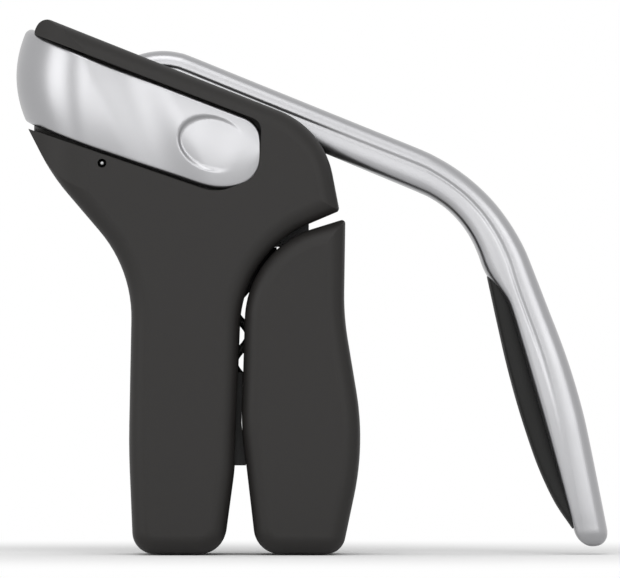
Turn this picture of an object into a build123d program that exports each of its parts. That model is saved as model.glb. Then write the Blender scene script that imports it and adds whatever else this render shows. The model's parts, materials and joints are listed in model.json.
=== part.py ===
"""A lever wine opener: hand grips round a bottle neck, a geared lever, a driven worm and a foil cutter.

The neck axis is the Z axis and the grips stand on Z = 0. X runs from the head's nose (negative)
to the lever's tip (positive), Y runs across the tool. All sizes are in millimetres.
"""
import os
from math import atan, cos, degrees, pi, radians, sin, sqrt, tan

from build123d import *

# Main body: half width across the grips and the rounding of their long edges
half_width = 25.0
body_round = 6.0
jaw_round = 6.0

# Side outline of the head and the fixed grip: corner points (x, z) and the rounding of each
rail_front = (-67.5, 182.1)
shoulder_corner = (27.9, 144.2)
shoulder_round = 29.0
shoulder_end = (33.3, 116.4)
body_corners = [
    (0.4, 102.4),
    (-2.4, 28.0),
    (-6.2, 0.0),
    (-36.6, 0.0),
    (-38.1, 36.0),
    (-36.9, 96.4),
    (-64.0, 128.2),
]
body_radii = [39.0, 60.0, 9.0, 7.5, 250.0, 45.0, 70.0]
chin = (-72.2, 144.0)
rail_nose = (-70.0, 177.6)
rail_round = 4.0
tip_round = 1.2
nose_line = -66.5

# Side outline of the moving grip
jaw_top_right = (35.3, 113.6)
jaw_corners = [
    (1.9, 103.3),
    (0.1, 44.0),
    (5.2, 0.0),
    (34.1, 0.0),
    (42.0, 37.4),
    (34.8, 80.6),
]
jaw_radii = [33.0, 60.0, 9.0, 6.6, 95.0, 90.0]

# Round front of the head in plan
nose_centre_x = -51.5

# Neck clamp: the bottle neck goes up between two rubber liners
neck_radius = 14.6
liner_thickness = 2.3
liner_fit = 0.1
clamp_length = 36.0
liner_relief = 0.6
liner_top = 88.0
tongue_bottom = 30.0
tongue_top = 61.5
tongue_gap = 0.15
tongue_root = 1.0
tongue_thickness = 1.4

# Lever pivot, gear sectors and racks
pivot_x = -26.7
pivot_z = 145.2
gear_module = 1.25
gear_teeth = 36
lever_lift = 125.0
pressure_angle = 20.0
tooth_backlash = 0.3
sector_teeth = 14
gear_hub_gap = 1.2
gear_thickness = 4.0
sector_start = 4.0
sector_end = -134.0
sector_rivet_radius = 1.5
sector_rivet_inset = 3.8
sector_rivet_angles = [-20.0, -65.0, -110.0]
lever_pin_radius = 3.0
pin_cover = 1.5
running_fit = 0.05
snug_fit = 0.02

# Lever: its round hub, the arm that leaves the hub at a tangent, and the slot that it lies in
lever_half_width = 11.5
lever_hub_radius = 25.5
lever_depth = 12.8
lever_web_step = 1.1
lever_round = 4.5
slot_gap = 0.8
hub_gap = 1.2
slot_floor_gap = 1.2
column_left = -9.0
lever_top_angle = 67.95
lever_hub_end_angle = 150.0
lever_reach = 112.7
lever_bend_round = 66.0
lever_outer_swell = (27.17, -69.53)
lever_outer_radii = [250.0, 4.6]
lever_tip = (32.17, -112.26)
lever_tip_width = 10.8
lever_inner_steps = [(7.77, -29.16), (0.77, -21.16), (-7.23, 1.64)]
lever_inner_radii = [6.0, 8.0, 6.0, 36.0]

# Soft pad on the inner side of the lever, its points measured from the lever's inner bend
pad_front = [(0.97, -21.56), (4.37, -36.76), (10.37, -61.26), (18.47, -85.76), (30.37, -106.66)]
pad_back = [(29.47, -94.66), (12.47, -28.66)]
pad_half_width = 9.0
pad_round = 2.5

# Worm: wire on a right-hand helix that bends in to a straight shank, and the core on that shank
wire_radius = 1.45
worm_outer_radius = 4.1
worm_pitch = 18.5
worm_quarter_turns = 17
worm_bend_height = 8.0
tip_length = 4.5
tip_radius = 0.2
wire_samples = 8
core_shank_radius = 2.6
core_drop = 2.3
shank_bare = 1.0
core_flange_radius = 5.0
core_flange_thickness = 1.2
core_button_radius = 3.6
core_button_height = 3.0

# Carriage that holds the worm's head between the racks
cap_gap = 0.4
carriage_floor = 4.0
carriage_left = -6.2
carriage_right = 9.3
carriage_gap = 0.3
cap_roof = 1.2
head_fit = 0.15
rack_back = 0.5
rack_end = 1.8
rack_head = 2.4
rivet_radius = 1.2
rivet_x = 7.4

# Nut and its holder above the bottle rim
rim_z = 91.0
rim_seat_thickness = 2.4
rim_seat_radius = 12.0
rim_seat_hole = 6.0
holder_flange = 3.0
nut_radius = 6.0
nut_bore_radius = 1.6
nut_z = 97.0
nut_height = 7.0
thread_gap = 0.3
holder_left = -14.0
holder_wall = 6.0
holder_half = 12.1
worm_passage = 4.7
holder_gap = 0.1
rack_slot_gap = 0.6
dowel_radius = 1.5
dowel_cover = 7.0
holder_dowel_x = -10.4
holder_dowel_z = 97.5

# Hinge of the moving grip
hinge_x = 19.0
hinge_z = 104.0
hinge_pin_radius = 2.0
hinge_pin_cover = 6.0
lug_half = 9.0
lug_boss = 5.0
lug_left = 11.0
lug_right = 22.9
lug_top = 127.0
lug_gap = 0.4
lug_dowel_x = 17.0
lug_dowel_z = 121.5
jaw_cavity_radius = 12.5
jaw_cavity_z = 98.5
jaw_pocket_left = 6.0
jaw_pocket_right = 25.2

# Small steel pins that show below the foil cutter
head_pin_x = -47.1
head_pin_z = 132.4
head_pin_radius = 1.0
head_pin_hole = 1.5
head_pin_sunk = 0.8
head_pin_length = 11.0

# Screws that hold the half shells together, driven from the far side
screw_radius = 1.5
screw_head_radius = 2.8
screw_head_height = 1.8
screw_head_cover = 8.0
screw_tip_cover = 12.0
screw_clear = 0.1
body_screws_at = [(-28.0, 14.0), (-27.0, 74.0), (-57.0, 129.0), (28.0, 122.0)]
jaw_screws_at = [(29.0, 18.0), (28.5, 66.0)]

# Foil cutter: a springy bow round the nose with four small wheels
cutter_wall = 5.5
cutter_gap = 0.5
cutter_top_front = (-72.3, 176.4)
cutter_front_bulge = (-76.3, 160.2)
cutter_low_front = (-72.9, 144.9)
cutter_low_corners = [(-8.5, 122.8), (5.6, 128.0), (6.4, 146.2)]
cutter_low_radii = [14.0, 9.0, 4.0]
cutter_edge_round = 1.6
cutter_tilt = 20.5
dimple_x = -7.6
dimple_z = 138.6
dimple_radius = 30.0
dimple_depth = 1.3
wheel_radius = 3.2
wheel_thickness = 1.0
wheel_inset = 1.2
wheel_gap = 0.3
wheel_pin_radius = 0.8
wheel_pin_half = 3.4
wheel_front = (-44.0, 150.4)
wheel_spacing = 18.0
groove_length = 80.0

os.makedirs("parts", exist_ok=True)


def keep_part(builder: BuildPart, name: str) -> None:
    """Name a finished piece and write it."""
    builder.part.label = name
    export_step(builder.part, f"parts/{name}.step")


def biarc(p0: Vector, t0: Vector, p1: Vector, t1: Vector) -> list:
    """Two arcs that leave the first point and reach the second one along the given directions."""
    chord = p1 - p0
    bend = 2 * (1 - t0.dot(t1))
    along = chord.dot(t0 + t1)
    reach = (-along + sqrt(along * along + bend * chord.dot(chord))) / bend
    joint = (p0 + t0 * reach + p1 - t1 * reach) * 0.5
    first = Edge.make_tangent_arc(p0, t0, joint)
    return [first, Edge.make_tangent_arc(joint, first % 1, p1)]


def helix_point(z: float) -> Vector:
    """The middle of the worm's wire at a height on its right-hand helix."""
    turn = 2 * pi * z / worm_pitch
    return Vector(helix_radius * cos(turn), helix_radius * sin(turn), z)


def helix_direction(z: float) -> Vector:
    """The direction in which the worm's wire climbs at a height."""
    turn = 2 * pi * z / worm_pitch
    climb = worm_pitch / (2 * pi)
    return Vector(-helix_radius * sin(turn), helix_radius * cos(turn), climb).normalized()


def helix_arcs(bottom: float, quarters: int) -> list:
    """Biarcs along the helix, one pair for each quarter turn above a height."""
    heights = [bottom + worm_pitch / 4 * i for i in range(quarters + 1)]
    arcs = []
    for low, high in zip(heights, heights[1:]):
        arcs += biarc(helix_point(low), helix_direction(low), helix_point(high), helix_direction(high))
    return arcs


def polar(centre: Vector, radius: float, angle: float) -> Vector:
    """A point of the side view at a distance and an angle from a centre."""
    return centre + Vector(cos(radians(angle)), sin(radians(angle))) * radius


# Sizes that follow from the ones above
pivot = Vector(pivot_x, pivot_z)
hinge = Vector(hinge_x, hinge_z)
lever_top_start = polar(pivot, lever_hub_radius, lever_top_angle)
lever_hub_inner = lever_hub_radius - lever_depth
lever_root = polar(pivot, lever_hub_inner, lever_top_angle)
lever_bend = polar(lever_top_start, lever_reach, lever_top_angle - 90)
lever_inner_bend = polar(lever_root, lever_reach, lever_top_angle - 90)
lever_tip_inner = lever_inner_bend + Vector(*lever_tip)
lever_tip_outer = lever_tip_inner + Vector(lever_tip_width, 0)
lever_inner_corners = [lever_inner_bend + Vector(*step) for step in lever_inner_steps]
arm_drop = lever_inner_corners[-1] - lever_root
arm_fall = arm_drop.Y / arm_drop.X
channel_radius = neck_radius + liner_thickness + liner_fit
pitch_radius = gear_module * gear_teeth / 2
tooth_pitch = pi * gear_module
lever_travel = pitch_radius * radians(lever_lift)
rack_bottom = pivot_z - lever_travel - rack_end
rack_x = pivot_x + pitch_radius
slot_half = lever_half_width + slot_gap
helix_radius = worm_outer_radius - wire_radius
cap_top = lever_root.Y + (carriage_right - lever_root.X) * arm_fall - cap_gap
cap_z = cap_top - cap_roof - core_button_height
flange_z = cap_z - 2 * head_fit - core_flange_thickness
carriage_z = flange_z - carriage_floor
rack_top = cap_top + rack_head
core_bottom = carriage_z - core_drop
worm_top = core_bottom - shank_bare - worm_bend_height
worm_bottom = worm_top - worm_quarter_turns * worm_pitch / 4
cutter_inner = half_width - cutter_wall
core_half = cutter_inner - cutter_gap
lever_pin_half = core_half - pin_cover
head_pin_inner = half_width - head_pin_sunk - head_pin_length
dowel_half_length = half_width - dowel_cover
hinge_pin_half = half_width - hinge_pin_cover
screw_head_seat = half_width - screw_head_cover
screw_depth = half_width - screw_tip_cover
gear_hub_radius = lever_hub_inner - gear_hub_gap
form_reach = 2 * rail_front[1]
tongue_left = body_corners[1][0] - tongue_root
gear_inner = lever_half_width - gear_thickness
tooth_tip = pitch_radius + gear_module
rack_root_depth = 1.25 * gear_module
tooth_foot_half = (tooth_pitch - tooth_backlash) / 4 + rack_root_depth * tan(radians(pressure_angle))
tooth_root = pitch_radius - rack_root_depth
lever_web_radius = tooth_root - lever_web_step
sector_rivet_circle = lever_web_radius - sector_rivet_inset
tooth_lean = tan(radians(pressure_angle)) - radians(pressure_angle)
rack_tooth_heights = [
    z
    for z in [pivot_z + tooth_pitch * (i + 0.5) for i in range(-gear_teeth, gear_teeth)]
    if rack_bottom + tooth_foot_half < z < rack_top - tooth_foot_half
]
holder_top = nut_z + nut_height
wheel_y = cutter_inner + wheel_inset
rivet_points = [(rivet_x, carriage_z + carriage_floor / 2), (rivet_x, (cap_z + cap_top) / 2)]


def gear_tooth(angle: float) -> list:
    """Outline of one tooth of a gear sector, its flanks chords of the involute."""
    base = pitch_radius * cos(radians(pressure_angle))
    play = tooth_backlash / 4 / pitch_radius
    left = []
    right = []
    for radius in (base, pitch_radius, tooth_tip):
        lean = sqrt(max((radius / base) ** 2 - 1, 0))
        half = pi / 2 / gear_teeth - play + tooth_lean - (lean - atan(lean))
        left.append(polar(pivot, radius, angle + degrees(half)))
        right.insert(0, polar(pivot, radius, angle - degrees(half)))
    return left + right


def rack_tooth(z: float) -> list:
    """Outline of one rack tooth, its straight flanks leaning at the pressure angle."""
    slope = tan(radians(pressure_angle))
    tip = tooth_pitch / 4 - tooth_backlash / 4 - gear_module * slope
    back_x = rack_x + rack_root_depth
    tip_x = rack_x - gear_module
    low = z - tooth_foot_half
    high = z + tooth_foot_half
    return [(back_x, low), (tip_x, z - tip), (tip_x, z + tip), (back_x, high)]


def tip_outline(before: tuple, corner: tuple, after: tuple) -> list:
    """Start, middle and end of the arc that rounds a corner, and a point clear of the sharp tip."""
    tip = Vector(*corner)
    back = (Vector(*before) - tip).normalized()
    ahead = (Vector(*after) - tip).normalized()
    inward = (back + ahead).normalized()
    half_angle = radians(back.get_angle(ahead) / 2)
    reach = tip_round / tan(half_angle)
    crest = tip + inward * (tip_round / sin(half_angle) - tip_round)
    return [tip + back * reach, crest, tip + ahead * reach, tip - inward * tip_round]


wheel_places = []
for side in (-1, 1):
    for step in (0, wheel_spacing):
        wheel_x = wheel_front[0] + step * cos(radians(cutter_tilt))
        wheel_z = wheel_front[1] - step * sin(radians(cutter_tilt))
        wheel_places.append(Location((wheel_x, side * wheel_y, wheel_z), (0, cutter_tilt, 0)))


# Outer form of the head and the fixed grip, before it is hollowed
with BuildPart() as body_form:
    with BuildSketch(Plane.XZ):
        with BuildLine():
            FilletPolyline(shoulder_end, *body_corners, chin, radius=body_radii)
            Line(chin, rail_nose)
            Line(rail_nose, rail_front)
            FilletPolyline(rail_front, shoulder_corner, shoulder_end, radius=shoulder_round)
        make_face()
    extrude(amount=half_width, both=True)
    flanks = body_form.faces().filter_by(Axis.Y)
    nose_edges = flanks.edges().filter_by(lambda edge: (edge @ 0.5).X < nose_line)
    fillet(flanks.edges() - nose_edges, radius=body_round)
    with BuildSketch(Plane.XY):
        with Locations((nose_centre_x, 0)):
            Circle(half_width)
        with Locations((nose_centre_x, 0)):
            Rectangle(form_reach, 2 * half_width, align=(Align.MIN, Align.CENTER))
    extrude(amount=form_reach, mode=Mode.INTERSECT)
    with BuildSketch(Plane.XZ):
        with BuildLine():
            FilletPolyline(chin, rail_nose, rail_front, shoulder_corner, radius=rail_round)
            Polyline(shoulder_corner, (form_reach, 0), (-form_reach, 0), chin)
        make_face()
    extrude(amount=half_width, both=True, mode=Mode.INTERSECT)
    with BuildSketch(Plane.XZ):
        with BuildLine():
            start, crest, end, clear = tip_outline(shoulder_corner, shoulder_end, body_corners[0])
            ThreePointArc(start, crest, end)
            Polyline(end, clear, start)
        make_face()
    extrude(amount=half_width, both=True, mode=Mode.SUBTRACT)

with BuildPart() as jaw_form:
    with BuildSketch(Plane.XZ):
        with BuildLine():
            jaw_back = Vector(*jaw_corners[-1])
            jaw_back_top = jaw_back + (Vector(*jaw_top_right) - jaw_back) * 0.5
            FilletPolyline(jaw_top_right, *jaw_corners, jaw_back_top, radius=jaw_radii)
            Line(jaw_back_top, jaw_top_right)
        make_face()
    extrude(amount=half_width, both=True)
    fillet(jaw_form.faces().filter_by(Axis.Y).edges(), radius=jaw_round)
    with BuildSketch(Plane.XZ):
        with BuildLine():
            start, crest, end, clear = tip_outline(jaw_corners[0], jaw_top_right, jaw_back_top)
            ThreePointArc(start, crest, end)
            Polyline(end, clear, start)
        make_face()
    extrude(amount=half_width, both=True, mode=Mode.SUBTRACT)

# Round back of the lever's hub, in the run of the arm's outer side
with BuildPart() as hub_form:
    with BuildSketch(Plane.XZ):
        with BuildLine():
            hub_end = polar(pivot, lever_hub_radius, lever_hub_end_angle)
            hub_inner_end = polar(pivot, lever_hub_inner, lever_hub_end_angle)
            hub_middle_angle = (lever_top_angle + lever_hub_end_angle) / 2
            ThreePointArc(hub_end, polar(pivot, lever_hub_radius, hub_middle_angle), lever_top_start)
            Line(lever_top_start, lever_root)
            ThreePointArc(lever_root, polar(pivot, lever_hub_inner, hub_middle_angle), hub_inner_end)
            Line(hub_inner_end, hub_end)
        make_face()
    extrude(amount=lever_half_width, both=True)
    hub_edges = hub_form.faces().filter_by(Axis.Y).edges()
    fillet(hub_edges.filter_by(lambda edge: edge.length > lever_hub_radius), radius=lever_round)

# Lever arm: a bar that leaves its round hub at a tangent and bends down to the hand
with BuildPart() as lever_arm:
    with BuildSketch(Plane.XZ):
        with BuildLine():
            FilletPolyline(
                lever_top_start,
                lever_bend,
                lever_bend + Vector(*lever_outer_swell),
                lever_tip_outer,
                lever_tip_inner,
                *lever_inner_corners,
                lever_root,
                radius=[lever_bend_round, *lever_outer_radii, *lever_inner_radii],
            )
            Line(lever_root, lever_top_start)
        make_face()
    extrude(amount=lever_half_width, both=True)
    arm_edges = lever_arm.faces().filter_by(Axis.Y).edges()
    fillet(arm_edges.filter_by(lambda edge: (edge @ 0.5).X > lever_top_start.X), radius=lever_round)
    add(hub_form.part)
    with BuildSketch(Plane.XZ):
        with Locations(pivot):
            Circle(lever_web_radius)
    extrude(amount=gear_inner, both=True)
    with BuildSketch(Plane.XZ):
        with Locations(pivot):
            Circle(lever_pin_radius + running_fit)
        with Locations(*[polar(pivot, sector_rivet_circle, angle) for angle in sector_rivet_angles]):
            Circle(sector_rivet_radius + snug_fit)
    extrude(amount=lever_half_width, both=True, mode=Mode.SUBTRACT)
keep_part(lever_arm, "lever_arm")

with BuildPart() as lever_pad:
    with BuildSketch(Plane.XZ):
        with BuildLine():
            front_points = [lever_inner_bend + Vector(*step) for step in pad_front]
            back_points = [lever_inner_bend + Vector(*step) for step in pad_back]
            Spline(*front_points)
            Polyline(front_points[-1], *back_points, front_points[0])
        make_face()
    extrude(amount=pad_half_width, both=True)
    pad_edges = lever_pad.faces().filter_by(Axis.Y).edges()
    fillet(pad_edges.filter_by(GeomType.BSPLINE), radius=pad_round)
    add(lever_arm.part, mode=Mode.SUBTRACT)
keep_part(lever_pad, "lever_pad")

# Gear sectors on both sides of the lever's web, and the rivets through them
with BuildPart() as near_sector:
    with BuildSketch(Plane.XZ.offset(gear_inner)):
        with Locations(pivot):
            Circle(gear_hub_radius)
        with BuildLine():
            sector_middle = polar(pivot, tooth_root, (sector_start + sector_end) / 2)
            sector_first = polar(pivot, tooth_root, sector_start)
            sector_last = polar(pivot, tooth_root, sector_end)
            ThreePointArc(sector_first, sector_middle, sector_last)
            Polyline(sector_last, pivot, sector_first)
        make_face()
        for i in range(sector_teeth):
            tooth_angle = -360 / gear_teeth * i
            tooth_foot = polar(pivot, tooth_root - gear_module / 2, tooth_angle)
            with BuildLine():
                tooth_points = gear_tooth(tooth_angle)
                Polyline(*tooth_points, tooth_foot, tooth_points[0])
            make_face()
        with Locations(pivot):
            Circle(lever_pin_radius + running_fit, mode=Mode.SUBTRACT)
        with Locations(*[polar(pivot, sector_rivet_circle, angle) for angle in sector_rivet_angles]):
            Circle(sector_rivet_radius + snug_fit, mode=Mode.SUBTRACT)
    extrude(amount=gear_thickness)
keep_part(near_sector, "near_sector")

with BuildPart() as far_sector:
    add(mirror(near_sector.part, about=Plane.XZ))
keep_part(far_sector, "far_sector")

with BuildPart() as sector_rivets:
    with BuildSketch(Plane.XZ):
        with Locations(*[polar(pivot, sector_rivet_circle, angle) for angle in sector_rivet_angles]):
            Circle(sector_rivet_radius)
    extrude(amount=lever_half_width, both=True)
keep_part(sector_rivets, "sector_rivets")

with BuildPart() as lever_pin:
    with BuildSketch(Plane.XZ):
        with Locations(pivot):
            Circle(lever_pin_radius)
    extrude(amount=lever_pin_half, both=True)
keep_part(lever_pin, "lever_pin")

# Racks beside the carriage, each with a head plate that is riveted to it
with BuildPart() as near_rack:
    with BuildSketch(Plane.XZ.offset(gear_inner)):
        rack_front = rack_x + rack_root_depth
        with BuildLine():
            Polyline(
                (rack_front, rack_bottom),
                (rack_back, rack_bottom),
                (rack_back, carriage_z),
                (carriage_right, carriage_z),
                (carriage_right, cap_top),
                (rack_back, cap_top),
                (rack_back, rack_top),
                (rack_front, rack_top),
                close=True,
            )
        make_face()
        for tooth_z in rack_tooth_heights:
            with BuildLine():
                Polyline(*rack_tooth(tooth_z), close=True)
            make_face()
        with Locations(*rivet_points):
            Circle(rivet_radius + snug_fit, mode=Mode.SUBTRACT)
    extrude(amount=gear_thickness)
keep_part(near_rack, "near_rack")

with BuildPart() as far_rack:
    add(mirror(near_rack.part, about=Plane.XZ))
keep_part(far_rack, "far_rack")

# Carriage: a block under the flange of the worm's core and a cap over its button
with BuildPart() as carriage_block:
    with BuildSketch(Plane.XY.offset(carriage_z)):
        with Locations((carriage_left, 0)):
            Rectangle(carriage_right - carriage_left, 2 * gear_inner, align=(Align.MIN, Align.CENTER))
    extrude(amount=cap_z - carriage_z)
    with BuildSketch(Plane.XY.offset(flange_z)):
        Circle(core_flange_radius + carriage_gap)
    extrude(amount=cap_z - flange_z, mode=Mode.SUBTRACT)
    with BuildSketch(Plane.XY.offset(carriage_z)):
        Circle(core_shank_radius + running_fit)
    extrude(amount=carriage_floor, mode=Mode.SUBTRACT)
    with BuildSketch(Plane.XZ):
        with Locations(rivet_points[0]):
            Circle(rivet_radius + snug_fit)
    extrude(amount=gear_inner, both=True, mode=Mode.SUBTRACT)
keep_part(carriage_block, "carriage_block")

with BuildPart() as carriage_cap:
    with BuildSketch(Plane.XY.offset(cap_z)):
        with Locations((carriage_left, 0)):
            Rectangle(carriage_right - carriage_left, 2 * gear_inner, align=(Align.MIN, Align.CENTER))
    extrude(amount=cap_top - cap_z)
    with BuildSketch(Plane.XY.offset(cap_z)):
        Circle(core_button_radius + carriage_gap)
    extrude(amount=cap_top - cap_roof - cap_z + head_fit, mode=Mode.SUBTRACT)
    with BuildSketch(Plane.XZ):
        with Locations(rivet_points[1]):
            Circle(rivet_radius + snug_fit)
    extrude(amount=gear_inner, both=True, mode=Mode.SUBTRACT)
keep_part(carriage_cap, "carriage_cap")

with BuildPart() as rack_rivets:
    with BuildSketch(Plane.XZ):
        with Locations(*rivet_points):
            Circle(rivet_radius)
    extrude(amount=lever_half_width, both=True)
keep_part(rack_rivets, "rack_rivets")

# Worm wire: helix, a bend to the axis and a straight shank in the core's socket
with BuildPart() as worm_wire:
    with BuildLine() as wire_line:
        for arc in helix_arcs(worm_bottom, worm_quarter_turns):
            add(arc)
        shank_start = Vector(0, 0, worm_top + worm_bend_height)
        for arc in biarc(helix_point(worm_top), helix_direction(worm_top), shank_start, Vector(0, 0, 1)):
            add(arc)
        Line(shank_start, (0, 0, flange_z))
    with BuildSketch(Plane(helix_point(worm_bottom), z_dir=helix_direction(worm_bottom))):
        Circle(wire_radius)
    sweep()
    with BuildSketch(Plane(helix_point(worm_bottom), z_dir=-helix_direction(worm_bottom))):
        Circle(wire_radius)
    extrude(amount=tip_length, taper=degrees(atan((wire_radius - tip_radius) / tip_length)))
keep_part(worm_wire, "worm_wire")
wire_points = []
for edge in wire_line.edges().sort_by(Axis.Z):
    wire_points += [edge @ (i / wire_samples) for i in range(wire_samples)]
half_turn = 4 * wire_samples
least_gap = min(
    (p - q).length - 2 * wire_radius
    for i, p in enumerate(wire_points)
    for q in wire_points[i + half_turn:]
)
tightest = min(edge.radius for edge in wire_line.edges() if edge.geom_type == GeomType.CIRCLE)
print(f"worm wire: least gap between turns {least_gap:.2f} mm, tightest bend {tightest:.2f} mm")

with BuildPart() as worm_core:
    with BuildSketch(Plane.XY.offset(core_bottom)):
        Circle(core_shank_radius)
    extrude(amount=flange_z - core_bottom)
    with BuildSketch(Plane.XY.offset(flange_z + head_fit)):
        Circle(core_flange_radius)
    extrude(amount=core_flange_thickness)
    with BuildSketch(Plane.XY.offset(flange_z)):
        Circle(core_button_radius)
    extrude(amount=cap_z - flange_z + core_button_height)
    with BuildSketch(Plane.XY.offset(core_bottom)):
        Circle(wire_radius + snug_fit)
    extrude(amount=flange_z - core_bottom, mode=Mode.SUBTRACT)
keep_part(worm_core, "worm_core")

# Nut round the worm, and the holder that stops the bottle rim
with BuildPart() as worm_nut:
    with BuildSketch(Plane.XY.offset(nut_z)):
        Circle(nut_radius)
        Circle(nut_bore_radius, mode=Mode.SUBTRACT)
    extrude(amount=nut_height)
    with BuildLine():
        thread_bottom = nut_z - worm_pitch / 8
        for arc in helix_arcs(thread_bottom, 3):
            add(arc)
    with BuildSketch(Plane(helix_point(thread_bottom), z_dir=helix_direction(thread_bottom))):
        Circle(wire_radius + thread_gap)
    sweep(mode=Mode.SUBTRACT)
keep_part(worm_nut, "worm_nut")

with BuildPart() as nut_holder:
    with BuildSketch(Plane.XY.offset(rim_z)):
        Circle(nut_radius + holder_wall)
        with Locations((holder_left, 0)):
            Rectangle(-holder_left, 2 * holder_half, align=(Align.MIN, Align.CENTER))
    extrude(amount=holder_top - rim_z)
    with BuildSketch(Plane.XY.offset(rim_z + holder_flange)):
        for side in (-1, 1):
            rack_slot_length = rack_back - rack_x + gear_module + 2 * rack_slot_gap
            rack_slot_middle = gear_inner - carriage_gap + gear_thickness
            with Locations((rack_x - gear_module - rack_slot_gap, side * rack_slot_middle)):
                Rectangle(rack_slot_length, 2 * gear_thickness, align=(Align.MIN, Align.CENTER))
    extrude(amount=holder_top - rim_z, mode=Mode.SUBTRACT)
    with BuildSketch(Plane.XY.offset(rim_z)):
        Circle(rim_seat_radius)
    extrude(amount=holder_flange)
    with BuildSketch(Plane.XY.offset(rim_z)):
        Circle(worm_passage)
    extrude(amount=nut_z - rim_z, mode=Mode.SUBTRACT)
    with BuildSketch(Plane.XY.offset(nut_z)):
        Circle(nut_radius + snug_fit)
    extrude(amount=nut_height, mode=Mode.SUBTRACT)
    with BuildSketch(Plane.XZ):
        with Locations((holder_dowel_x, holder_dowel_z)):
            Circle(dowel_radius + snug_fit)
    extrude(amount=half_width, both=True, mode=Mode.SUBTRACT)
keep_part(nut_holder, "nut_holder")

with BuildPart() as rim_seat:
    with BuildSketch(Plane.XY.offset(rim_z - rim_seat_thickness)):
        Circle(rim_seat_radius)
        Circle(rim_seat_hole, mode=Mode.SUBTRACT)
    extrude(amount=rim_seat_thickness)
keep_part(rim_seat, "rim_seat")

with BuildPart() as holder_dowel:
    with BuildSketch(Plane.XZ):
        with Locations((holder_dowel_x, holder_dowel_z)):
            Circle(dowel_radius)
    extrude(amount=dowel_half_length, both=True)
keep_part(holder_dowel, "holder_dowel")

# Room inside the head for the lever, its gears, the racks, the carriage and the nut holder
with BuildPart() as head_room:
    with BuildSketch(Plane.XZ):
        with Locations(pivot):
            Circle(lever_hub_radius + hub_gap)
            Circle(tooth_tip + hub_gap)
        with BuildLine():
            raised_angle = lever_top_angle + lever_lift
            slot_back = polar(pivot, lever_hub_radius + hub_gap, raised_angle)
            slot_back_top = polar(slot_back, form_reach, raised_angle - 90)
            floor_left = lever_root - Vector(0, slot_floor_gap)
            floor_end = floor_left + Vector(form_reach, form_reach * arm_fall)
            slot_top_right = Vector(floor_end.X, slot_back_top.Y)
            Polyline(slot_back, slot_back_top, slot_top_right, floor_end, floor_left, pivot, slot_back)
        make_face()
        with Locations((column_left, rim_z)):
            column_width = carriage_right + carriage_gap - column_left
            Rectangle(column_width, lever_root.Y - rim_z, align=(Align.MIN, Align.MIN))
        with Locations((holder_left - holder_gap, rim_z)):
            Rectangle(form_reach, nut_z + nut_height - rim_z + holder_gap, align=(Align.MIN, Align.MIN))
    extrude(amount=slot_half, both=True)
    Cylinder(channel_radius, rim_z, align=(Align.CENTER, Align.CENTER, Align.MIN))
    with BuildSketch(Plane.XZ):
        with Locations(pivot):
            Circle(lever_pin_radius + snug_fit)
    extrude(amount=lever_pin_half, both=True)
    with BuildSketch(Plane.XZ):
        with Locations((holder_dowel_x, holder_dowel_z), (lug_dowel_x, lug_dowel_z)):
            Circle(dowel_radius + snug_fit)
    extrude(amount=dowel_half_length, both=True)
    with BuildSketch(Plane.XZ):
        with Locations((lug_left, hinge_z)):
            Rectangle(lug_right - lug_left, lug_top - hinge_z, align=(Align.MIN, Align.MIN))
    extrude(amount=lug_half, both=True)

# Plan of the core that the foil cutter is clipped round
with BuildSketch(Plane.XY) as core_plan:
    with Locations((nose_centre_x, 0)):
        Circle(core_half)
        Rectangle(form_reach, 2 * core_half, align=(Align.MIN, Align.CENTER))

# Foil cutter bow: a U in plan, cut to its side outline, with a thumb dimple in each arm
with BuildSketch(Plane.XZ) as cutter_side:
    with BuildLine():
        ThreePointArc(cutter_top_front, cutter_front_bulge, cutter_low_front)
        FilletPolyline(
            cutter_low_front,
            *cutter_low_corners,
            cutter_top_front,
            radius=cutter_low_radii,
        )
    make_face()


def is_cutter_outside(face: Face) -> bool:
    """Whether a face lies on the outside of the cutter's bow."""
    middle = face.center()
    reach = Vector(min(middle.X - nose_centre_x, 0), middle.Y).length
    return reach > (cutter_inner + half_width) / 2 and abs(face.normal_at(middle).Z) < 0.1


def is_cutter_rim(edge: Edge) -> bool:
    """Whether an edge runs along the border of the bow's outside, not across it."""
    return abs((edge % 0.5).Z) < 0.9


with BuildPart() as cutter_body:
    with BuildSketch(Plane.XY):
        with Locations((nose_centre_x, 0)):
            Circle(half_width)
            Rectangle(form_reach, 2 * half_width, align=(Align.MIN, Align.CENTER))
            Circle(cutter_inner, mode=Mode.SUBTRACT)
            Rectangle(form_reach, 2 * cutter_inner, align=(Align.MIN, Align.CENTER), mode=Mode.SUBTRACT)
    extrude(amount=form_reach)
    extrude(cutter_side.sketch, amount=form_reach, both=True, mode=Mode.INTERSECT)
    outer_faces = cutter_body.faces().filter_by(is_cutter_outside)
    fillet(outer_faces.edges().filter_by(is_cutter_rim), radius=cutter_edge_round)
    dimple_y = half_width + dimple_radius - dimple_depth
    with Locations((dimple_x, -dimple_y, dimple_z), (dimple_x, dimple_y, dimple_z)):
        Sphere(dimple_radius, mode=Mode.SUBTRACT)
    with Locations(*wheel_places):
        Cylinder(wheel_radius + wheel_gap, wheel_thickness + 2 * wheel_gap, mode=Mode.SUBTRACT)
        Cylinder(wheel_pin_radius + snug_fit, 2 * wheel_pin_half, mode=Mode.SUBTRACT)
keep_part(cutter_body, "cutter_body")

for i, place in enumerate(wheel_places):
    with BuildPart() as cutter_wheel:
        with Locations(place):
            Cylinder(wheel_radius, wheel_thickness)
            Cylinder(wheel_pin_radius + running_fit, wheel_thickness, mode=Mode.SUBTRACT)
    keep_part(cutter_wheel, f"cutter_wheel_{i + 1}")

with BuildPart() as wheel_pins:
    with Locations(*wheel_places):
        Cylinder(wheel_pin_radius, 2 * wheel_pin_half)
keep_part(wheel_pins, "wheel_pins")

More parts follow.
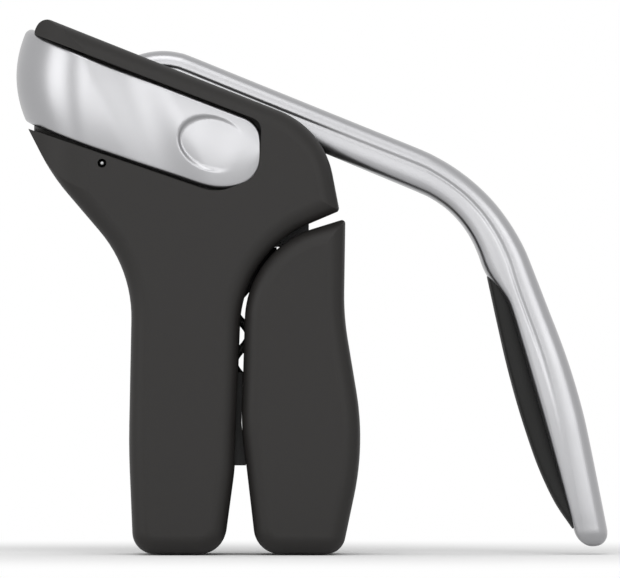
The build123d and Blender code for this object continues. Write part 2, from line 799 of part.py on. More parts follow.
# Recess for the foil cutter in the sides of the head, and grooves in which its wheels pass
with BuildPart() as cutter_recess:
    with BuildSketch(Plane.XZ):
        add(cutter_side.sketch)
        offset(amount=cutter_gap)
    extrude(amount=form_reach, both=True)
    extrude(core_plan.sketch, amount=form_reach, mode=Mode.SUBTRACT)
    for side in (-1, 1):
        groove_inner = wheel_y - wheel_radius - wheel_gap
        groove_middle = (wheel_front[0], side * (groove_inner + core_half) / 2, wheel_front[1])
        with Locations(Location(groove_middle, (0, cutter_tilt, 0))):
            Box(
                groove_length,
                core_half - groove_inner,
                wheel_thickness + 2 * wheel_gap,
                align=(Align.CENTER, Align.CENTER, Align.CENTER),
            )

# Screws, all with the same head, driven from the far side
with BuildPart() as body_screw_holes:
    with BuildSketch(Plane.XZ.offset(screw_depth)):
        with Locations(*body_screws_at):
            Circle(screw_radius + snug_fit)
    extrude(amount=-screw_depth - screw_head_seat)
    with BuildSketch(Plane.XZ.offset(-screw_head_seat)):
        with Locations(*body_screws_at):
            Circle(screw_head_radius + screw_clear)
    extrude(amount=-half_width)

with BuildPart() as shell_screws:
    with BuildSketch(Plane.XZ.offset(screw_depth)):
        with Locations(*body_screws_at):
            Circle(screw_radius)
    extrude(amount=-screw_depth - screw_head_seat)
    with BuildSketch(Plane.XZ.offset(-screw_head_seat)):
        with Locations(*body_screws_at):
            Circle(screw_head_radius)
    extrude(amount=-screw_head_height)
keep_part(shell_screws, "shell_screws")

with BuildPart() as head_pins:
    with BuildSketch(Plane.XZ.offset(head_pin_inner)):
        with Locations((head_pin_x, head_pin_z)):
            Circle(head_pin_radius)
    extrude(amount=head_pin_length)
    mirror(about=Plane.XZ)
keep_part(head_pins, "head_pins")

# Half shells of the head and the fixed grip
with BuildPart() as whole_shell:
    add(body_form.part)
    add(head_room.part, mode=Mode.SUBTRACT)
    add(cutter_recess.part, mode=Mode.SUBTRACT)
    add(body_screw_holes.part, mode=Mode.SUBTRACT)
    with BuildSketch(Plane.XZ.offset(head_pin_inner)):
        with Locations((head_pin_x, head_pin_z)):
            Circle(head_pin_hole)
    extrude(amount=half_width, mode=Mode.SUBTRACT)
    with BuildSketch(Plane.XZ.offset(-head_pin_inner)):
        with Locations((head_pin_x, head_pin_z)):
            Circle(head_pin_hole)
    extrude(amount=-half_width, mode=Mode.SUBTRACT)

with BuildPart() as near_shell:
    add(whole_shell.part)
    split(bisect_by=Plane.XZ, keep=Keep.TOP)
keep_part(near_shell, "near_shell")

with BuildPart() as far_shell:
    add(whole_shell.part)
    split(bisect_by=Plane.XZ, keep=Keep.BOTTOM)
keep_part(far_shell, "far_shell")


def slit_point(jaw_end: tuple, z: float) -> Vector:
    """A point at a height just before the moving grip's inner edge, on the side of one of its ends."""
    waist = Vector(*jaw_corners[1])
    edge = Vector(*jaw_end) - waist
    return waist + edge * ((z - waist.Y) / edge.Y) - Vector(tongue_gap, 0)


# Soft liners of the neck clamp, tight on the neck below and relieved above
with BuildPart() as neck_liner:
    with BuildSketch(Plane.XY):
        Circle(neck_radius + liner_thickness)
        Circle(neck_radius, mode=Mode.SUBTRACT)
    extrude(amount=liner_top)
    with BuildSketch(Plane.XY.offset(clamp_length)):
        Circle(neck_radius + liner_relief)
    extrude(amount=liner_top, mode=Mode.SUBTRACT)

with BuildPart() as fixed_liner:
    add(neck_liner.part)
    add(body_form.part, mode=Mode.INTERSECT)
    with BuildSketch(Plane.XZ.offset(neck_radius + liner_relief)):
        with BuildLine():
            Polyline(
                (tongue_left, tongue_bottom),
                slit_point(jaw_corners[2], tongue_bottom),
                slit_point(jaw_corners[2], jaw_corners[1][1]),
                slit_point(jaw_corners[0], tongue_top),
                (tongue_left, tongue_top),
                close=True,
            )
        make_face()
    tongue = extrude(amount=tongue_thickness)
    mirror(tongue, about=Plane.XZ)
keep_part(fixed_liner, "fixed_liner")

with BuildPart() as jaw_liner:
    add(neck_liner.part)
    add(jaw_form.part, mode=Mode.INTERSECT)
keep_part(jaw_liner, "jaw_liner")

# Hinge of the moving grip: a bracket dowelled into the head, and a pin through it
with BuildPart() as hinge_bracket:
    with BuildSketch(Plane.XZ):
        with Locations((lug_left, holder_top + holder_gap)):
            Rectangle(lug_right - lug_left, lug_top - holder_top - holder_gap, align=(Align.MIN, Align.MIN))
        with Locations(hinge):
            Circle(lug_boss)
            Circle(hinge_pin_radius + snug_fit, mode=Mode.SUBTRACT)
        with Locations((lug_dowel_x, lug_dowel_z)):
            Circle(dowel_radius + snug_fit, mode=Mode.SUBTRACT)
    extrude(amount=lug_half - holder_gap, both=True)
keep_part(hinge_bracket, "hinge_bracket")

with BuildPart() as bracket_dowel:
    with BuildSketch(Plane.XZ):
        with Locations((lug_dowel_x, lug_dowel_z)):
            Circle(dowel_radius)
    extrude(amount=dowel_half_length, both=True)
keep_part(bracket_dowel, "bracket_dowel")

with BuildPart() as hinge_pin:
    with BuildSketch(Plane.XZ):
        with Locations(hinge):
            Circle(hinge_pin_radius)
    extrude(amount=hinge_pin_half, both=True)
keep_part(hinge_pin, "hinge_pin")

# Half shells of the moving grip
with BuildPart() as jaw_screws:
    with BuildSketch(Plane.XZ.offset(screw_depth)):
        with Locations(*jaw_screws_at):
            Circle(screw_radius)
    extrude(amount=-screw_depth - screw_head_seat)
    with BuildSketch(Plane.XZ.offset(-screw_head_seat)):
        with Locations(*jaw_screws_at):
            Circle(screw_head_radius)
    extrude(amount=-screw_head_height)
keep_part(jaw_screws, "jaw_screws")

with BuildPart() as whole_jaw:
    add(jaw_form.part)
    Cylinder(
        channel_radius,
        jaw_cavity_z,
        align=(Align.CENTER, Align.CENTER, Align.MIN),
        mode=Mode.SUBTRACT,
    )
    Cylinder(
        jaw_cavity_radius,
        jaw_top_right[1],
        align=(Align.CENTER, Align.CENTER, Align.MIN),
        mode=Mode.SUBTRACT,
    )
    with BuildSketch(Plane.XZ):
        with Locations((jaw_pocket_left, hinge_z)):
            Rectangle(jaw_pocket_right - jaw_pocket_left, lug_top - hinge_z, align=(Align.MIN, Align.MIN))
        with Locations(hinge):
            Circle(lug_boss + lug_gap)
    extrude(amount=lug_half + lug_gap, both=True, mode=Mode.SUBTRACT)
    with BuildSketch(Plane.XZ):
        with Locations(hinge):
            Circle(hinge_pin_radius + running_fit)
    extrude(amount=hinge_pin_half + lug_gap, both=True, mode=Mode.SUBTRACT)
    with BuildSketch(Plane.XZ.offset(screw_depth)):
        with Locations(*jaw_screws_at):
            Circle(screw_radius + snug_fit)
    extrude(amount=-screw_depth - screw_head_seat, mode=Mode.SUBTRACT)
    with BuildSketch(Plane.XZ.offset(-screw_head_seat)):
        with Locations(*jaw_screws_at):
            Circle(screw_head_radius + screw_clear)
    extrude(amount=-half_width, mode=Mode.SUBTRACT)

with BuildPart() as near_jaw:
    add(whole_jaw.part)
    split(bisect_by=Plane.XZ, keep=Keep.TOP)
keep_part(near_jaw, "near_jaw")

with BuildPart() as far_jaw:
    add(whole_jaw.part)
    split(bisect_by=Plane.XZ, keep=Keep.BOTTOM)
keep_part(far_jaw, "far_jaw")
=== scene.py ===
"""Looks of a lever wine opener: soft black grips, a satin cast lever and a clip-on foil cutter.

Every size is in metres, in the frame of the solids: the bottle neck's axis is Z, the lever reaches
towards +X and the photograph is taken along +Y.
"""
import json
import logging
import math
from dataclasses import dataclass, field
from enum import Enum
from typing import Sequence

import bmesh
import bpy
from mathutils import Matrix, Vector


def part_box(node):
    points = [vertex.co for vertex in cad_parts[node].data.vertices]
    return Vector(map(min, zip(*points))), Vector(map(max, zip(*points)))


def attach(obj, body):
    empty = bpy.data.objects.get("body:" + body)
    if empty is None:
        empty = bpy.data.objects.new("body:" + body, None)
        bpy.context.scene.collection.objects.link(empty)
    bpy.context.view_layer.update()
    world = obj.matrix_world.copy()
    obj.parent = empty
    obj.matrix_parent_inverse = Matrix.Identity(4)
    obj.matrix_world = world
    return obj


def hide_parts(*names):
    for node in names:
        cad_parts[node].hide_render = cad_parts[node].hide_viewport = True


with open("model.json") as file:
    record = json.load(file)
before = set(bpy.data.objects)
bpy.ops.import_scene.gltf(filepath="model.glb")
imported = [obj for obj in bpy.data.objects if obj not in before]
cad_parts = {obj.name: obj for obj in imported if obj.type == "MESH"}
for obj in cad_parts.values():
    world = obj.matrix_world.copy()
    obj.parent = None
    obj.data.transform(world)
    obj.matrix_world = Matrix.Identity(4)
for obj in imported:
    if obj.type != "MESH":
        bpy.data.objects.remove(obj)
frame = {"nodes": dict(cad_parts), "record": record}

LOG = logging.getLogger("wine_opener")
MM = 0.001
# Points closer than these are one, on the large pieces and on the screws and pins
MERGE_GAP, FINE_GAP = 1e-6, 1e-7
Point = tuple[float, float, float]
SidePoint = tuple[float, float]


class Side(Enum):
    """The two flanks of the tool."""

    NEAR = -1
    FAR = 1


def linear(hex_colour: str) -> tuple[float, float, float, float]:
    """Turn an sRGB hex colour into linear values.

    Args:
        hex_colour: six hex digits after a hash sign.

    Returns:
        Red, green, blue and an alpha of 1.
    """
    values = [int(hex_colour[i:i + 2], 16) / 255 for i in (1, 3, 5)]
    red, green, blue = [v / 12.92 if v <= 0.04045 else ((v + 0.055) / 1.055) ** 2.4 for v in values]
    return red, green, blue, 1.0


def smooth_step(value: float) -> float:
    """Ease a value from 0 to 1, flat at both ends."""
    t = min(max(value, 0.0), 1.0)
    return t * t * (3 - 2 * t)


def add_node(
    tree: bpy.types.NodeTree,
    kind: str,
    settings: dict | None = None,
    links: Sequence[tuple[bpy.types.NodeSocket, str | int]] = (),
    inputs: dict | None = None,
) -> bpy.types.Node:
    """Add a node with its settings, input values and incoming links.

    Args:
        tree: the tree that gets the node.
        kind: the node's type name.
        settings: attributes of the node.
        links: pairs of a socket to read from and the name or number of the input that it feeds.
        inputs: values of unlinked inputs by name or number.

    Returns:
        The new node.
    """
    node = tree.nodes.new(kind)
    for name, value in (settings or {}).items():
        setattr(node, name, value)
    for name, value in (inputs or {}).items():
        node.inputs[name].default_value = value
    for socket, name in links:
        tree.links.new(socket, node.inputs[name])
    return node


@dataclass(frozen=True)
class Finish:
    """A surface finish: its colours, how rough it is, and the fine grain that breaks its gloss.

    Attributes:
        name: the material's common name and how its surface was made.
        colour: the main sRGB colour.
        shade: a second sRGB colour that clouds over the first one.
        roughness: the shader's mean roughness.
        roughness_swing: how far the roughness wanders around the mean.
        metallic: 1 for bare or plated metal.
        grain_mm: size of the surface grain.
        grain_height_mm: height of that grain.
        cloud_mm: size of the slow changes in colour and roughness.
        specular: the shader's specular level.
        stretch: scale of the grain along X, Y and Z, for drawn or brushed surfaces.
        coat: weight of a clear coat.
    """

    name: str
    colour: str
    shade: str
    roughness: float
    roughness_swing: float = 0.05
    metallic: float = 0.0
    grain_mm: float = 0.4
    grain_height_mm: float = 0.01
    cloud_mm: float = 18.0
    specular: float = 0.5
    stretch: Point = (1.0, 1.0, 1.0)
    coat: float = 0.0

    def build(self) -> bpy.types.Material:
        """Make the node material.

        Returns:
            The material.
        """
        material = bpy.data.materials.new(self.name)
        material.use_nodes = True
        tree = material.node_tree
        tree.nodes.clear()
        place = add_node(tree, "ShaderNodeTexCoord")
        mapping = add_node(tree, "ShaderNodeMapping", links=[(place.outputs["Object"], "Vector")],
                           inputs={"Scale": self.stretch})
        cloud = add_node(tree, "ShaderNodeTexNoise", links=[(place.outputs["Object"], "Vector")],
                         inputs={"Scale": 1 / (self.cloud_mm * MM), "Detail": 3.0, "Roughness": 0.55})
        grain = add_node(tree, "ShaderNodeTexNoise", links=[(mapping.outputs["Vector"], "Vector")],
                         inputs={"Scale": 1 / (self.grain_mm * MM), "Detail": 2.0, "Roughness": 0.6})
        # Inputs 6 and 7 and output 2 of this node are its two colours and their mix
        blend = add_node(tree, "ShaderNodeMix", {"data_type": "RGBA"}, [(cloud.outputs["Fac"], "Factor")],
                         {6: linear(self.colour), 7: linear(self.shade)})
        rough = add_node(tree, "ShaderNodeMapRange", links=[(cloud.outputs["Fac"], "Value")],
                         inputs={"From Min": 0.3, "From Max": 0.7,
                                 "To Min": self.roughness - self.roughness_swing,
                                 "To Max": self.roughness + self.roughness_swing})
        bump = add_node(tree, "ShaderNodeBump", links=[(grain.outputs["Fac"], "Height")],
                        inputs={"Strength": 1.0, "Distance": self.grain_height_mm * MM})
        shader = add_node(
            tree,
            "ShaderNodeBsdfPrincipled",
            links=[(blend.outputs[2], "Base Color"), (rough.outputs["Result"], "Roughness"),
                   (bump.outputs["Normal"], "Normal")],
            inputs={"Metallic": self.metallic, "Specular IOR Level": self.specular, "Coat Weight": self.coat},
        )
        add_node(tree, "ShaderNodeOutputMaterial", links=[(shader.outputs["BSDF"], "Surface")])
        return material


# Soft-touch paint on moulded ABS: a velvety black that scatters light broadly over a fine orange peel
SOFT_TOUCH = Finish("soft_touch_paint_on_abs", "#211f1e", "#262524", 0.5, 0.04, grain_mm=0.5,
                    grain_height_mm=0.006, cloud_mm=30.0, specular=0.24)
# Moulded thermoplastic rubber: flatter and darker than the paint, with a coarser spark-eroded grain
RUBBER = Finish("moulded_thermoplastic_rubber", "#181818", "#1f1f1e", 0.62, 0.05, grain_mm=0.6,
                grain_height_mm=0.02, cloud_mm=12.0, specular=0.22)
# Cast aluminium, bead-blasted and lightly polished: a satin surface whose highlights are wide and even
SATIN_ALLOY = Finish("satin_cast_aluminium", "#a7a7a9", "#a2a2a4", 0.33, 0.02, 1.0, grain_mm=0.35,
                     grain_height_mm=0.0025, cloud_mm=25.0)
# Turned and ground steel: pins, screws and wheels, with fine marks from the tool
TURNED_STEEL = Finish("turned_steel", "#a3a4a4", "#949596", 0.26, 0.05, 1.0, grain_mm=0.3,
                      grain_height_mm=0.004, cloud_mm=6.0, stretch=(1.0, 4.0, 1.0))
# Steel wire under a dark fluoropolymer coat: dull grey-black with a soft gloss
COATED_WIRE = Finish("coated_steel_wire", "#343332", "#3c3b38", 0.36, 0.06, grain_mm=0.25,
                     grain_height_mm=0.006, cloud_mm=4.0, specular=0.35)
# Moulded glass-filled nylon: dark grey, slightly waxy
NYLON = Finish("moulded_nylon", "#1d1d1e", "#242425", 0.48, 0.05, grain_mm=0.4, grain_height_mm=0.01,
               cloud_mm=8.0, specular=0.3)


def closed_mesh(name: str, build: bmesh.types.BMesh, gap: float) -> bpy.types.Mesh:
    """Merge the points of a bmesh that lie within a gap and turn its faces outwards.

    Args:
        name: the mesh's name.
        build: the bmesh; it is freed.
        gap: the gap.

    Returns:
        The mesh.
    """
    bmesh.ops.remove_doubles(build, verts=build.verts, dist=gap)
    bmesh.ops.recalc_face_normals(build, faces=build.faces)
    mesh = bpy.data.meshes.new(name)
    build.to_mesh(mesh)
    build.free()
    return mesh


def mesh_object(name: str, build: bmesh.types.BMesh, material: bpy.types.Material) -> bpy.types.Object:
    """Turn a finished bmesh into a smooth-shaded object at the origin.

    Args:
        name: the piece's name.
        build: the mesh, in the row frame; it is freed.
        material: its finish.

    Returns:
        The linked object.
    """
    for face in build.faces:
        face.smooth = True
    mesh = closed_mesh(name, build, MERGE_GAP)
    mesh.materials.append(material)
    piece = bpy.data.objects.new(name, mesh)
    bpy.context.scene.collection.objects.link(piece)
    return piece


def smooth_line(points: Sequence[Vector], parts: int = 6) -> list[Vector]:
    """Pass a smooth curve through points.

    Args:
        points: the points in order.
        parts: pieces between each two points.

    Returns:
        Points along the curve.
    """
    ends = [points[0] * 2 - points[1], *points, points[-1] * 2 - points[-2]]
    curve = []
    for a, b, c, d in zip(ends, ends[1:], ends[2:], ends[3:]):
        for i in range(parts):
            t = i / parts
            curve.append(0.5 * (2 * b + (c - a) * t + (2 * a - 5 * b + 4 * c - d) * t * t
                                + (3 * b - a - 3 * c + d) * t ** 3))
    return curve + [points[-1]]


def skin_rings(build: bmesh.types.BMesh, rings: Sequence[Sequence[Vector]], capped: bool = True) -> None:
    """Skin closed rings of equal length one after another.

    Args:
        build: the mesh that gets the faces.
        rings: rings of points.
        capped: whether the first and last ring are filled.
    """
    rows = [[build.verts.new(point) for point in ring] for ring in rings]
    count = len(rows[0])
    for low, high in zip(rows, rows[1:]):
        for i in range(count):
            j = (i + 1) % count
            build.faces.new((low[i], low[j], high[j], high[i]))
    if capped:
        build.faces.new(rows[0])
        build.faces.new(rows[-1])


@dataclass
class FoilCutter:
    """The springy satin bow round the nose, with a thumb dimple near the end of each arm.

    Attributes:
        nose_x: centre of the round front in plan.
        outer: half width over the arms at the middle of their height.
        inner: half width between the arms.
        end_x: where the arms end.
        top_front: side view point at the front end of the upper edge.
        top_fall: fall of the upper edge towards the arm's end.
        top_turn: where the upper edge starts to turn down round the arm's end.
        top_drop: how far it has turned down there.
        low_front: side view point at the front end of the lower edge.
        low_fall: fall of the lower edge.
        low_turn: where the lower edge starts to turn up round the arm's end.
        low_rise: how far it has turned up there.
        arm_crown: how far the outside bulges over the height of an arm.
        front_crown: the same at the front.
        rim_round: rounding of the upper and lower rims.
        dimple: centre of the thumb dimple in the side view.
        dimple_half: half length and half height of the dimple.
        dimple_depth: depth of the dimple at its front lip.
        dimple_tilt: tilt of the dimple with the arm.
        dimple_lip: width of the dimple's lip as a share of its size.
        dimple_run: where the dimple has run out along its length, and over what share it runs out.
        waist: middle of the shallow waist across each arm, along the bow and in height.
        waist_half: half length of the waist.
        waist_depth: depth of the waist.
        waist_slant: how far the waist moves along the bow for each millimetre down.
        end_steps: sections round the arm's end.
        lip_steps: close sections across the dimple's front lip.
        lip_gap: distance between those.
        arm_steps: sections over the rest of an arm.
        nose_steps: sections round the nose.
        side_steps: points up the outside of a section.
        inner_steps: points down its inside.
        end_shares: how far each of the closing sections has gone round the arm's blunt end.
        end_round: rounding of that end as a share of the rims' rounding.
        end_squash: how much of that rounding shows along the arm.
    """

    nose_x: float = -51.5 * MM
    outer: float = 25.0 * MM
    inner: float = 19.5 * MM
    end_x: float = 6.2 * MM
    top_front: tuple[float, float] = (-72.3 * MM, 176.4 * MM)
    top_fall: float = -0.3837
    top_turn: float = 1.2 * MM
    top_drop: float = 4.2 * MM
    low_front: tuple[float, float] = (-72.9 * MM, 144.9 * MM)
    low_fall: float = -0.343
    low_turn: float = -17.0 * MM
    low_rise: float = 13.5 * MM
    arm_crown: float = 1.1 * MM
    front_crown: float = 3.6 * MM
    rim_round: float = 1.5 * MM
    dimple: tuple[float, float] = (-9.4 * MM, 139.0 * MM)
    dimple_half: tuple[float, float] = (12.6 * MM, 9.2 * MM)
    dimple_depth: float = 1.5 * MM
    dimple_tilt: float = 20.0
    dimple_lip: float = 0.1
    dimple_run: tuple[float, float] = (0.75, 1.6)
    waist: SidePoint = (-33.4 * MM, 150.0 * MM)
    waist_half: float = 13.5 * MM
    waist_depth: float = 1.1 * MM
    waist_slant: float = 0.45
    end_steps: int = 60
    lip_steps: int = 24
    lip_gap: float = 0.4 * MM
    arm_steps: int = 26
    nose_steps: int = 48
    side_steps: int = 64
    inner_steps: int = 6
    end_shares: tuple[float, ...] = (0.35, 0.7, 0.95)
    end_round: float = 0.9
    end_squash: float = 0.55

    def upper(self, x: float) -> float:
        """Height of the upper edge at a place along the tool."""
        line = self.top_front[1] + self.top_fall * (x - self.top_front[0])
        return line - self.corner(x, self.top_turn, self.top_drop)

    def lower(self, x: float) -> float:
        """Height of the lower edge at a place along the tool."""
        line = self.low_front[1] + self.low_fall * (x - self.low_front[0])
        return line + self.corner(x, self.low_turn, self.low_rise)

    def corner(self, x: float, start: float, height: float) -> float:
        """How far an edge has turned in towards the arm's rounded end."""
        along = min(max((x - start) / (self.end_x - start), 0.0), 1.0)
        return height * (1 - math.sqrt(1 - along * along))

    def dish(self, x: float, z: float) -> float:
        """Depth of the thumb dimple, which has a lip at its front and runs out towards the arm's end.

        Args:
            x: place along the tool.
            z: height.

        Returns:
            The depth.
        """
        tilt = math.radians(self.dimple_tilt)
        across = (x - self.dimple[0], z - self.dimple[1])
        along = (across[0] * math.cos(tilt) - across[1] * math.sin(tilt)) / self.dimple_half[0]
        up = (across[0] * math.sin(tilt) + across[1] * math.cos(tilt)) / self.dimple_half[1]
        reach = math.hypot(along, up)
        lip = smooth_step((1 - reach) / self.dimple_lip)
        stop, length = self.dimple_run
        return self.dimple_depth * lip * smooth_step((stop - along) / length) if reach < 1 else 0.0

    def hollow(self, along: float, z: float) -> float:
        """Depth of the shallow waist that runs down across each arm.

        Args:
            along: place along the bow.
            z: height.

        Returns:
            The depth.
        """
        middle = self.waist[0] - self.waist_slant * (z - self.waist[1])
        share = (along - middle) / self.waist_half
        return self.waist_depth * (0.5 + 0.5 * math.cos(math.pi * share)) if abs(share) < 1 else 0.0

    def stations(self) -> list[tuple[float, Vector]]:
        """Places along the bow in plan.

        Returns:
            Pairs of X and the outward direction.
        """
        end = self.end_x - self.low_turn
        angles = [math.pi / 2 * i / self.end_steps for i in range(self.end_steps + 1)]
        fine = [self.low_turn + end * math.cos(angle) for angle in angles]
        fine += [self.low_turn - self.lip_gap * (i + 1) for i in range(self.lip_steps)]
        rest = fine[-1] - self.nose_x
        coarse = [fine[-1] - rest * (i + 1) / self.arm_steps for i in range(self.arm_steps - 1)]
        near = [(x, Vector((0, -1, 0))) for x in fine + coarse]
        turn = []
        for i in range(self.nose_steps + 1):
            angle = -math.pi / 2 - math.pi * i / self.nose_steps
            turn.append((self.nose_x, Vector((math.cos(angle), math.sin(angle), 0))))
        far = [(x, Vector((0, 1, 0))) for x in reversed(fine + coarse)]
        return near + turn + far

    def ring(self, x: float, outward: Vector, shrink: float) -> list[Vector]:
        """The closed section of the bow at one place.

        Args:
            x: place along the tool of the section's foot.
            outward: direction away from the core.
            shrink: how far the section is drawn in on all sides, for the rounded ends.

        Returns:
            Points up the outside and down the inside.
        """
        foot = Vector((x, 0, 0))
        front = max(-outward.x, 0.0)
        edge_x = x + outward.x * self.outer
        top = self.upper(edge_x) - shrink
        bottom = self.lower(edge_x) + shrink
        crown = self.arm_crown + (self.front_crown - self.arm_crown) * front * front
        middle, half = (top + bottom) / 2, (top - bottom) / 2
        turned = math.acos(min(abs(outward.y), 1.0)) if front > 0 else 0.0
        along = x - turned * self.outer
        points = []
        for i in range(self.side_steps + 1):
            share = -math.cos(math.pi * i / self.side_steps)
            z = middle + half * share
            edge = min(half - abs(z - middle), self.rim_round) / self.rim_round
            rim = self.rim_round * (1 - math.sqrt(max(1 - (1 - edge) ** 2, 0.0)))
            reach = self.outer - crown * share * share - rim - shrink
            reach -= self.hollow(along, z)
            if front == 0:
                reach -= self.dish(x, z)
            points.append(foot + outward * reach + Vector((0, 0, z)))
        for i in range(self.inner_steps + 1):
            z = top - (top - bottom) * i / self.inner_steps
            points.append(foot + outward * (self.inner + shrink) + Vector((0, 0, z)))
        return points

    def build(self, material: bpy.types.Material) -> bpy.types.Object:
        """Make the bow.

        Args:
            material: its finish.

        Returns:
            The piece, standing for the plain solid.
        """
        rings = [self.ring(x, outward, 0.0) for x, outward in self.stations()]
        end = self.rim_round * self.end_round
        for share in self.end_shares:
            drawn = end * (1 - math.sqrt(1 - share * share))
            out = Vector((end * share * self.end_squash - end * self.end_squash, 0, 0))
            first = self.ring(self.end_x, Vector((0, -1, 0)), drawn)
            last = self.ring(self.end_x, Vector((0, 1, 0)), drawn)
            rings.insert(0, [point + out for point in first])
            rings.append([point + out for point in last])
        build = bmesh.new()
        skin_rings(build, rings)
        piece = mesh_object("foil_cutter_bow", build, material)
        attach(piece, "foil_cutter")
        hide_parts("cutter_body")
        return piece


@dataclass
class CuttingWheels:
    """The four hardened discs inside the bow: a bevelled edge and a thicker boss.

    Attributes:
        radius: radius at the cutting edge.
        boss: radius of the boss.
        bore: radius of the hole for the pin.
        half_thickness: half the boss's thickness.
        half_edge: half the width left at the cutting edge.
        tilt: tilt of the wheels with the bow.
        step: width of the slope from the boss to the disc.
        disc_share: the disc's thickness at that slope as a share of the boss's.
        segments: steps round a wheel.
    """

    radius: float = 3.2 * MM
    boss: float = 1.9 * MM
    bore: float = 0.85 * MM
    half_thickness: float = 0.5 * MM
    half_edge: float = 0.04 * MM
    tilt: float = 20.5
    step: float = 0.25 * MM
    disc_share: float = 0.55
    segments: int = 64

    def build(self, material: bpy.types.Material) -> list[bpy.types.Object]:
        """Make one wheel for each wheel body.

        Args:
            material: their finish.

        Returns:
            The pieces.
        """
        half = self.half_thickness
        shoulder, thin = self.boss + self.step, half * self.disc_share
        profile = [(self.bore, -half), (self.boss, -half), (shoulder, -thin), (self.radius, -self.half_edge),
                   (self.radius, self.half_edge), (shoulder, thin), (self.boss, half), (self.bore, half)]
        lean = math.radians(self.tilt)
        along = Vector((math.cos(lean), 0, -math.sin(lean)))
        axle = Vector((math.sin(lean), 0, math.cos(lean)))
        pieces = []
        for number in range(1, 5):
            low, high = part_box(f"cutter_wheel_{number}")
            centre = (low + high) / 2
            build = bmesh.new()
            rings = []
            for i in range(self.segments + 1):
                angle = 2 * math.pi * i / self.segments
                out = along * math.cos(angle) + Vector((0, 1, 0)) * math.sin(angle)
                rings.append([centre + out * r + axle * h for r, h in profile])
            skin_rings(build, rings, capped=False)
            piece = mesh_object(f"sharpened_wheel_{number}", build, material)
            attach(piece, f"wheel_{number}")
            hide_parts(f"cutter_wheel_{number}")
            pieces.append(piece)
        return pieces


